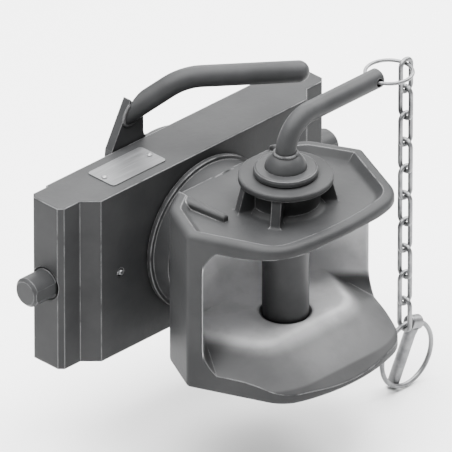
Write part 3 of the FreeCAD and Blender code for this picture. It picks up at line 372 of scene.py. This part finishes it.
CAST_PAINT = (rgb(0.018, 0.0183, 0.019), rgb(0.028, 0.0284, 0.029))
CAST_RUBBED = rgb(0.20, 0.20, 0.203)
# Painted shade: the cast paint darkened in corners and gaps
CAST_CREVICE_SHADE = rgb(0.008, 0.008, 0.008)
FUNNEL_WORN = rgb(0.15, 0.15, 0.152)
# Bare metal in the mouth, lighter than the funnel's: wear, and painted light over the shade
# inside the mouth
MOUTH_WORN_AND_PAINTED_LIGHT = rgb(0.52, 0.52, 0.526)
SMOOTH_PAINT = (rgb(0.022, 0.0224, 0.023), rgb(0.032, 0.0325, 0.0335))
SMOOTH_RUBBED = rgb(0.17, 0.17, 0.173)
# Painted shade: the smooth paint darkened in corners and gaps
SMOOTH_CREVICE_SHADE = rgb(0.006, 0.006, 0.006)
BARE_STEEL = (rgb(0.14, 0.14, 0.143), rgb(0.20, 0.20, 0.203))
ZINC = (rgb(0.12, 0.122, 0.125), rgb(0.19, 0.192, 0.195))
DATA_PLATE = (rgb(0.065, 0.066, 0.068), rgb(0.095, 0.096, 0.099))
BRONZE = (rgb(0.30, 0.20, 0.10), rgb(0.42, 0.30, 0.16))
LINING = (rgb(0.05, 0.048, 0.045), rgb(0.12, 0.115, 0.11))
PALE_FLOOR = rgb(0.86, 0.86, 0.86)
WHITE = rgb(1.0, 1.0, 1.0)
PAINT_GLOSS = 0.12


def mouth_wear_and_painted_light(paint):
    """Two masks: the mouth between its walls, and all that the drawbar's eye has rubbed, made
    stronger towards the pin; the rub stands partly for real wear and partly for painted light
    over the shade in the mouth.
    """
    side, along, up = paint.parts(paint.place())
    tilt = paint.parts(paint.facing())[2]
    wall = MOUTH_REAR_X + (MOUTH_REAR_Y - along) * MOUTH_FLARE
    level = 1.0 - up.size().above(MOUTH_HALF_HEIGHT, MOUTH_HALF_HEIGHT + LEVEL_FADE)
    inside = level * (1.0 - (side.size() - wall).above(*WALL_FADE))
    funnel = (-(up.sign() * tilt)).above(*FUNNEL_TILT) * (1.0 - up.size().above(*FUNNEL_END))
    ahead = 1.0 - along.above(MOUTH_REAR_Y, MOUTH_REAR_Y + REAR_FADE)
    forward = along - PIN_AXIS_Y
    from_pin = (side * side + forward * forward) ** 0.5
    # Full inside the mouth and stronger near the pin: wear, and painted light where the mouth
    # lies in shade
    polish_and_painted_light = inside.largest(0.80 - 0.60 * from_pin.above(*FUNNEL_FADE))
    patches = 0.8 + 0.2 * paint.noise(scale=34.0, detail=5.0).above(0.35, 0.6)
    return inside, ahead * inside.largest(funnel) * polish_and_painted_light * patches


def painted_casting():
    """Satin grey paint over a cast skin, rubbed on its edges, rubbed bright in the mouth and
    lightened there further as painted light, and darkened in corners as painted shade.
    """
    paint = Paint("painted_casting")
    cloud = paint.noise(scale=16.0, detail=5.0)
    grain = paint.noise(scale=620.0, detail=3.0, roughness=0.6)
    pits = paint.noise(scale=190.0, detail=2.0, roughness=0.5)
    rub = paint.edges(1.5 * MM) * paint.noise(scale=70.0).above(0.30, 0.56)
    crevice_shade = paint.crevices(5 * MM)
    inside, worn_and_painted_light = mouth_wear_and_painted_light(paint)

    base = paint.mix(cloud.above(0.3, 0.7), *CAST_PAINT)
    base = paint.mix(rub * 0.85, base, CAST_RUBBED)
    # Rubbed metal, far lighter inside the mouth: wear, and painted light over the shade there
    base = paint.mix(worn_and_painted_light, base, paint.mix(inside, FUNNEL_WORN, MOUTH_WORN_AND_PAINTED_LIGHT))
    # Painted shade: darker in corners and gaps
    base = paint.mix(crevice_shade * 0.6, base, CAST_CREVICE_SHADE)
    paint.set(Base_Color=base, Roughness=0.46 + cloud * 0.10 + grain * 0.06,
              Metallic=(rub * 0.4).largest(worn_and_painted_light * 0.2), Specular_IOR_Level=PAINT_GLOSS)
    paint.bump(grain * 0.55 + pits, strength=0.35, distance=0.28 * MM, rounding=3.2 * MM)
    return paint.material


def painted_steel():
    """The same paint on smooth rolled steel and turned parts."""
    paint = Paint("painted_steel")
    cloud = paint.noise(scale=22.0)
    peel = paint.noise(scale=420.0, detail=2.0, roughness=0.45)
    rub = paint.edges(1.2 * MM) * paint.noise(scale=90.0).above(0.28, 0.54)
    crevice_shade = paint.crevices(4 * MM)
    base = paint.mix(cloud.above(0.3, 0.7), *SMOOTH_PAINT)
    base = paint.mix(rub * 0.8, base, SMOOTH_RUBBED)
    # Painted shade: darker in corners and gaps
    base = paint.mix(crevice_shade * 0.85, base, SMOOTH_CREVICE_SHADE)
    paint.set(Base_Color=base, Roughness=0.42 + cloud * 0.10, Metallic=rub * 0.5,
              Specular_IOR_Level=PAINT_GLOSS)
    paint.bump(peel, strength=0.16, distance=0.2 * MM, rounding=0.8 * MM)
    return paint.material


def turned_steel():
    """Bare machined steel with fine tool marks, oiled and slightly dull."""
    paint = Paint("plain_steel")
    marks = paint.noise(scale=900.0, detail=2.0, roughness=0.5, stretch=(1.0, 1.0, 5.0))
    cloud = paint.noise(scale=40.0)
    base = paint.mix(cloud.above(0.35, 0.65), *BARE_STEEL)
    paint.set(Base_Color=base, Roughness=0.34 + marks * 0.12, Metallic=0.85)
    paint.bump(marks, strength=0.12, distance=0.08 * MM, rounding=0.5 * MM)
    return paint.material


def plated_steel():
    """Dark zinc plating, on the chain and its rings, the spring, the nut and the small pins."""
    paint = Paint("zinc_steel")
    cloud = paint.noise(scale=120.0)
    fine = paint.noise(scale=1400.0, detail=2.0)
    base = paint.mix(cloud.above(0.35, 0.65), *ZINC)
    paint.set(Base_Color=base, Roughness=0.32 + cloud * 0.16, Metallic=0.8)
    paint.bump(fine, strength=0.10, distance=0.05 * MM, rounding=0.3 * MM)
    return paint.material


def brushed_plate():
    """The bare data plate, brushed along its length."""
    paint = Paint("plate_metal")
    brush = paint.noise(scale=500.0, detail=3.0, roughness=0.6, stretch=(0.06, 1.0, 1.0))
    base = paint.mix(brush.above(0.3, 0.7), *DATA_PLATE)
    paint.set(Base_Color=base, Roughness=0.42 + brush * 0.12, Metallic=0.45)
    paint.bump(brush, strength=0.10, distance=0.05 * MM, rounding=0.3 * MM)
    return paint.material


def bearing_bronze():
    """The shank's two bushes."""
    paint = Paint("bronze")
    cloud = paint.noise(scale=60.0)
    base = paint.mix(cloud.above(0.35, 0.65), *BRONZE)
    paint.set(Base_Color=base, Roughness=0.34 + cloud * 0.12, Metallic=0.9)
    paint.bump(cloud, strength=0.05, distance=0.1 * MM, rounding=0.4 * MM)
    return paint.material


def friction_lining():
    """The flecked disc that brakes the jaw."""
    paint = Paint("lining")
    flecks = paint.noise(scale=1100.0, detail=3.0, roughness=0.7)
    base = paint.mix(flecks.above(0.45, 0.7), *LINING)
    paint.set(Base_Color=base, Roughness=0.85)
    paint.bump(flecks, strength=0.3, distance=0.1 * MM)
    return paint.material


FINISHES = {
    "painted_casting": painted_casting(),
    "painted_steel": painted_steel(),
    "plain_steel": turned_steel(),
    "zinc_steel": plated_steel(),
    "plate_metal": brushed_plate(),
    "bronze": bearing_bronze(),
    "lining": friction_lining(),
}


def dress_cad_nodes():
    for row in frame["record"]["subparts"]:
        node = frame["nodes"][row["node"]]
        node.data.materials.clear()
        node.data.materials.append(FINISHES[row["material_slot"]])


# Added pieces

def oval(centre, first, second, start, end, count):
    """Points on an oval between two angles in degrees, from its two half axes."""
    points = []
    for step in range(count):
        angle = math.radians(start + (end - start) * step / (count - 1))
        points.append(centre + first * math.cos(angle) + second * math.sin(angle))
    return points


def weld_form(material):
    """Overlapping ripples along a path."""
    form = Form("weld_bead", {"Bead radius": ROD_WELD_BEAD, "Ripple pitch": ROD_WELD_PITCH})
    path = form.node("GeometryNodeMeshToCurve", {}, {"Mesh": form.sizes["Path"]})["Curve"]
    spots = form.node("GeometryNodeCurveToPoints", {"mode": "LENGTH"},
                      {"Curve": path, "Length": form.sizes["Ripple pitch"]})
    drop = form.node("GeometryNodeMeshIcoSphere", {},
                     {"Radius": form.sizes["Bead radius"], "Subdivisions": RIPPLE_DETAIL})
    ripples = form.node("GeometryNodeInstanceOnPoints", {},
                        {"Points": spots["Points"], "Instance": drop["Mesh"],
                         "Rotation": spots["Rotation"], "Scale": (1.0, 1.0, RIPPLE_SQUEEZE)})
    form.close(ripples["Instances"], material)
    return form


def make_welds():
    """A bead where the lever's rod meets its arm, and one all round the handle's foot.

    The rod's is on the side that it leans away from.
    """
    form = weld_form(FINISHES["painted_steel"])
    lean = (ROD_CORNER - ROD_FOOT).normalized()
    flat = Vector((lean.x, 0.0, lean.z)).normalized()
    across = Vector((flat.z, 0.0, -flat.x))
    long_half = ROD_RADIUS / abs(lean.y)
    path = oval(ROD_FOOT, -flat * long_half, across * ROD_RADIUS,
                -ROD_WELD_HALF_ARC, ROD_WELD_HALF_ARC, ROD_WELD_POINTS)
    rod_weld = form.make("rod_weld", path,
                         Bead_radius=ROD_WELD_BEAD, Ripple_pitch=ROD_WELD_PITCH)
    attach(rod_weld, "lever")

    ring = HANDLE_RADIUS + HANDLE_WELD_OUT
    path = oval(HANDLE_FOOT, Vector((ring, 0, 0)), Vector((0, ring, 0)),
                0, 360, HANDLE_WELD_POINTS)
    handle_weld = form.make("handle_weld", path,
                            Bead_radius=HANDLE_WELD_BEAD, Ripple_pitch=HANDLE_WELD_PITCH)
    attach(handle_weld, "towing_pin")


def piece_from(mesh, name, slot):
    """A piece made from a bmesh, in one of the finishes."""
    data = bpy.data.meshes.new(name)
    mesh.to_mesh(data)
    mesh.free()
    data.materials.append(FINISHES[slot])
    return add_object(name, data)


def cove_profile(side):
    """The hollow round between the mouth's rear wall and its floor (-1) or roof (1), as (y, z).

    Its ends run on just under the wall and the floor, and its back lies inside the casting.
    """
    wall = MOUTH_REAR_Y + COVE_SUNK
    level = MOUTH_HALF_HEIGHT + COVE_SUNK
    near = wall - COVE_RADIUS - COVE_RUN_ON
    low = level - COVE_RADIUS - COVE_RUN_ON
    points = [(wall, low)]
    for step in range(COVE_STEPS + 1):
        angle = math.radians(90) * step / COVE_STEPS
        points.append((wall - COVE_RADIUS * (1 - math.cos(angle)),
                       level - COVE_RADIUS * (1 - math.sin(angle))))
    points += [(near, level), (near, level + COVE_BACK),
               (wall + COVE_BACK, level + COVE_BACK), (wall + COVE_BACK, low)]
    return [(y, side * z) for y, z in points]


def make_mouth_coves():
    """One even round from side to side along the mouth's rear wall, above and below."""
    front_faces = COVE_STEPS + 2
    mesh = bmesh.new()
    for side in (-1, 1):
        left, right = ([mesh.verts.new((x, y, z)) for y, z in cove_profile(side)]
                       for x in (-COVE_HALF_WIDTH, COVE_HALF_WIDTH))
        for step in range(len(left)):
            after = (step + 1) % len(left)
            face = mesh.faces.new((left[step], left[after], right[after], right[step]))
            face.smooth = step < front_faces
        mesh.faces.new(left)
        mesh.faces.new(right)
    bmesh.ops.recalc_face_normals(mesh, faces=mesh.faces[:])
    coves = piece_from(mesh, "mouth_coves", "painted_casting")
    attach(coves, "jaw")


def make_dome():
    """The smooth round top of the pin's head, over the solid's straight facets."""
    low = math.asin(DOME_SINK / DOME_RADIUS)
    high = math.acos(HANDLE_RADIUS / DOME_RADIUS)
    turns = [math.tau * side / DOME_SIDES for side in range(DOME_SIDES)]
    mesh = bmesh.new()
    rings = []
    for step in range(DOME_RINGS + 1):
        angle = low + (high - low) * step / DOME_RINGS
        out = DOME_RADIUS * math.cos(angle)
        level = DOME_CENTRE_Z + DOME_RADIUS * math.sin(angle)
        rings.append([mesh.verts.new((out * math.cos(turn), PIN_AXIS_Y + out * math.sin(turn),
                                      level)) for turn in turns])
    for lower, upper in zip(rings, rings[1:]):
        for side in range(DOME_SIDES):
            after = (side + 1) % DOME_SIDES
            face = mesh.faces.new((lower[side], lower[after], upper[after], upper[side]))
            face.smooth = True
    dome = piece_from(mesh, "pin_dome", "painted_steel")
    solid = dome.modifiers.new("wall", "SOLIDIFY")
    solid.thickness = DOME_WALL
    solid.offset = -1.0
    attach(dome, "towing_pin")


def spring_form(material, height):
    """Close turns about Z from the origin up, with an eye at each end."""
    form = Form("lever_spring", {"Coil radius": SPRING_RADIUS, "Wire radius": SPRING_WIRE,
                                 "Eye radius": SPRING_EYE, "Turns": SPRING_TURNS,
                                 "Height": height})
    coil = form.sizes["Coil radius"]
    top = form.sizes["Height"]
    eye = form.sizes["Eye radius"]
    curves = [form.node("GeometryNodeCurveSpiral", {},
                        {"Resolution": SPRING_TURN_STEPS, "Rotations": form.sizes["Turns"],
                         "Start Radius": coil, "End Radius": coil, "Height": top})["Curve"]]
    for level, middle in ((0.0, -eye), (top, top + eye)):
        loop = form.node("GeometryNodeCurvePrimitiveCircle", {},
                         {"Resolution": SPRING_EYE_STEPS, "Radius": eye})["Curve"]
        centre = form.node("ShaderNodeCombineXYZ", {}, {"Z": middle})["Vector"]
        curves.append(form.node("GeometryNodeTransform", {},
                                {"Geometry": loop, "Translation": centre,
                                 "Rotation": (math.radians(90), 0.0, 0.0)})["Geometry"])
        begin = form.node("ShaderNodeCombineXYZ", {}, {"Z": level})["Vector"]
        end = form.node("ShaderNodeCombineXYZ", {}, {"X": coil, "Z": level})["Vector"]
        curves.append(form.node("GeometryNodeCurvePrimitiveLine", {},
                                {"Start": begin, "End": end})["Curve"])
    wire = form.node("GeometryNodeCurvePrimitiveCircle", {},
                     {"Resolution": SPRING_WIRE_SIDES,
                      "Radius": form.sizes["Wire radius"]})["Curve"]
    joined = form.node("GeometryNodeJoinGeometry", {}, {"Geometry": curves})["Geometry"]
    tube = form.node("GeometryNodeCurveToMesh", {},
                     {"Curve": joined, "Profile Curve": wire, "Fill Caps": True})["Mesh"]
    form.close(tube, material)
    return form


def make_spring():
    """The lever's return spring, made once and fixed, in place of the solid one; on the real
    lever it stretches as the lever turns.
    """
    low = SPRING_BOTTOM_Z + SPRING_EYE
    high = SPRING_TOP_Z - SPRING_EYE
    form = spring_form(FINISHES["zinc_steel"], high - low)
    spring = form.make("lever_return_spring", [], Height=high - low)
    for vertex in spring.data.vertices:
        vertex.co += Vector((SPRING_X, SPRING_Y, low))
    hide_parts("lever_spring")
    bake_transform(spring)


def thread_form(material, length):
    """A ridge that winds about Y from the origin to the rear."""
    form = Form("shank_thread", {"Radius": THREAD_RADIUS, "Pitch": THREAD_PITCH,
                                 "Length": length})
    radius = form.sizes["Radius"]
    reach = form.sizes["Length"]
    turns = form.node("GeometryNodeCurveSpiral", {},
                      {"Resolution": THREAD_TURN_STEPS,
                       "Rotations": reach / form.sizes["Pitch"],
                       "Start Radius": radius, "End Radius": radius, "Height": reach})["Curve"]
    ridge = form.node("GeometryNodeCurvePrimitiveCircle", {},
                      {"Resolution": THREAD_RIDGE_SIDES, "Radius": THREAD_RIDGE})["Curve"]
    wound = form.node("GeometryNodeCurveToMesh", {},
                      {"Curve": turns, "Profile Curve": ridge, "Fill Caps": True})["Mesh"]
    laid = form.node("GeometryNodeTransform", {},
                     {"Geometry": wound,
                      "Rotation": (math.radians(-90), 0.0, 0.0)})["Geometry"]
    form.close(laid, material)
    return form


def make_thread():
    """The last turns of the shank's thread, in the castle nut's slots and behind it."""
    start = NUT_REAR_Y - THREAD_IN_NUT
    form = thread_form(FINISHES["plain_steel"], SHANK_CHAMFER_Y - start)
    thread = form.make("shank_thread", [], Length=SHANK_CHAMFER_Y - start)
    for vertex in thread.data.vertices:
        vertex.co += Vector((0.0, start, 0.0))
    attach(thread, "jaw")


# Studio

def make_floor():
    lowest = cad_box[0].z - FLOOR_DROP
    corners = [(-FLOOR_REACH, -FLOOR_REACH, lowest), (FLOOR_REACH, -FLOOR_REACH, lowest),
               (FLOOR_REACH, FLOOR_REACH, lowest), (-FLOOR_REACH, FLOOR_REACH, lowest)]
    mesh = bpy.data.meshes.new("studio_floor")
    mesh.from_pydata(corners, [], [(0, 1, 2, 3)])
    floor = add_object("studio_floor", mesh)
    paint = Paint("pale_floor")
    paint.set(Base_Color=PALE_FLOOR, Roughness=0.9)
    mesh.materials.append(paint.material)


def turn_towards(mounted, direction):
    """Turns a light or camera, which looks along its own -Z."""
    mounted.rotation_mode = "QUATERNION"
    mounted.rotation_quaternion = direction.to_track_quat("-Z", "Y")


def make_lights():
    world = bpy.data.worlds.new("studio")
    bpy.context.scene.world = world
    world.use_nodes = True
    sky = world.node_tree.nodes["Background"]
    sky.inputs["Color"].default_value = WHITE
    sky.inputs["Strength"].default_value = SKY_STRENGTH
    for name, place, aim, side, power in AREA_LIGHTS:
        data = bpy.data.lights.new(name, "AREA")
        data.shape = "SQUARE"
        data.size = side
        data.energy = power
        lamp = add_object(name, data)
        lamp.location = place
        turn_towards(lamp, Vector(aim) - Vector(place))


def make_camera():
    """The photograph's view: from above the left front corner, with a long lens."""
    turn = math.radians(PHOTO_AZIMUTH)
    rise = math.radians(PHOTO_ELEVATION)
    back = Vector((math.sin(turn) * math.cos(rise), -math.cos(turn) * math.cos(rise),
                   math.sin(rise)))
    distance = PHOTO_PIXELS / PIXELS_PER_METRE * LENS / SENSOR
    data = bpy.data.cameras.new("camera")
    data.lens = LENS
    data.sensor_width = SENSOR
    data.clip_end = CLIP_BEYOND * distance
    camera = add_object("camera", data)
    camera.location = PHOTO_CENTRE + back * distance
    turn_towards(camera, -back)
    bpy.context.scene.camera = camera


dress_cad_nodes()
make_welds()
make_mouth_coves()
make_dome()
make_spring()
make_thread()
make_floor()
make_lights()
make_camera()
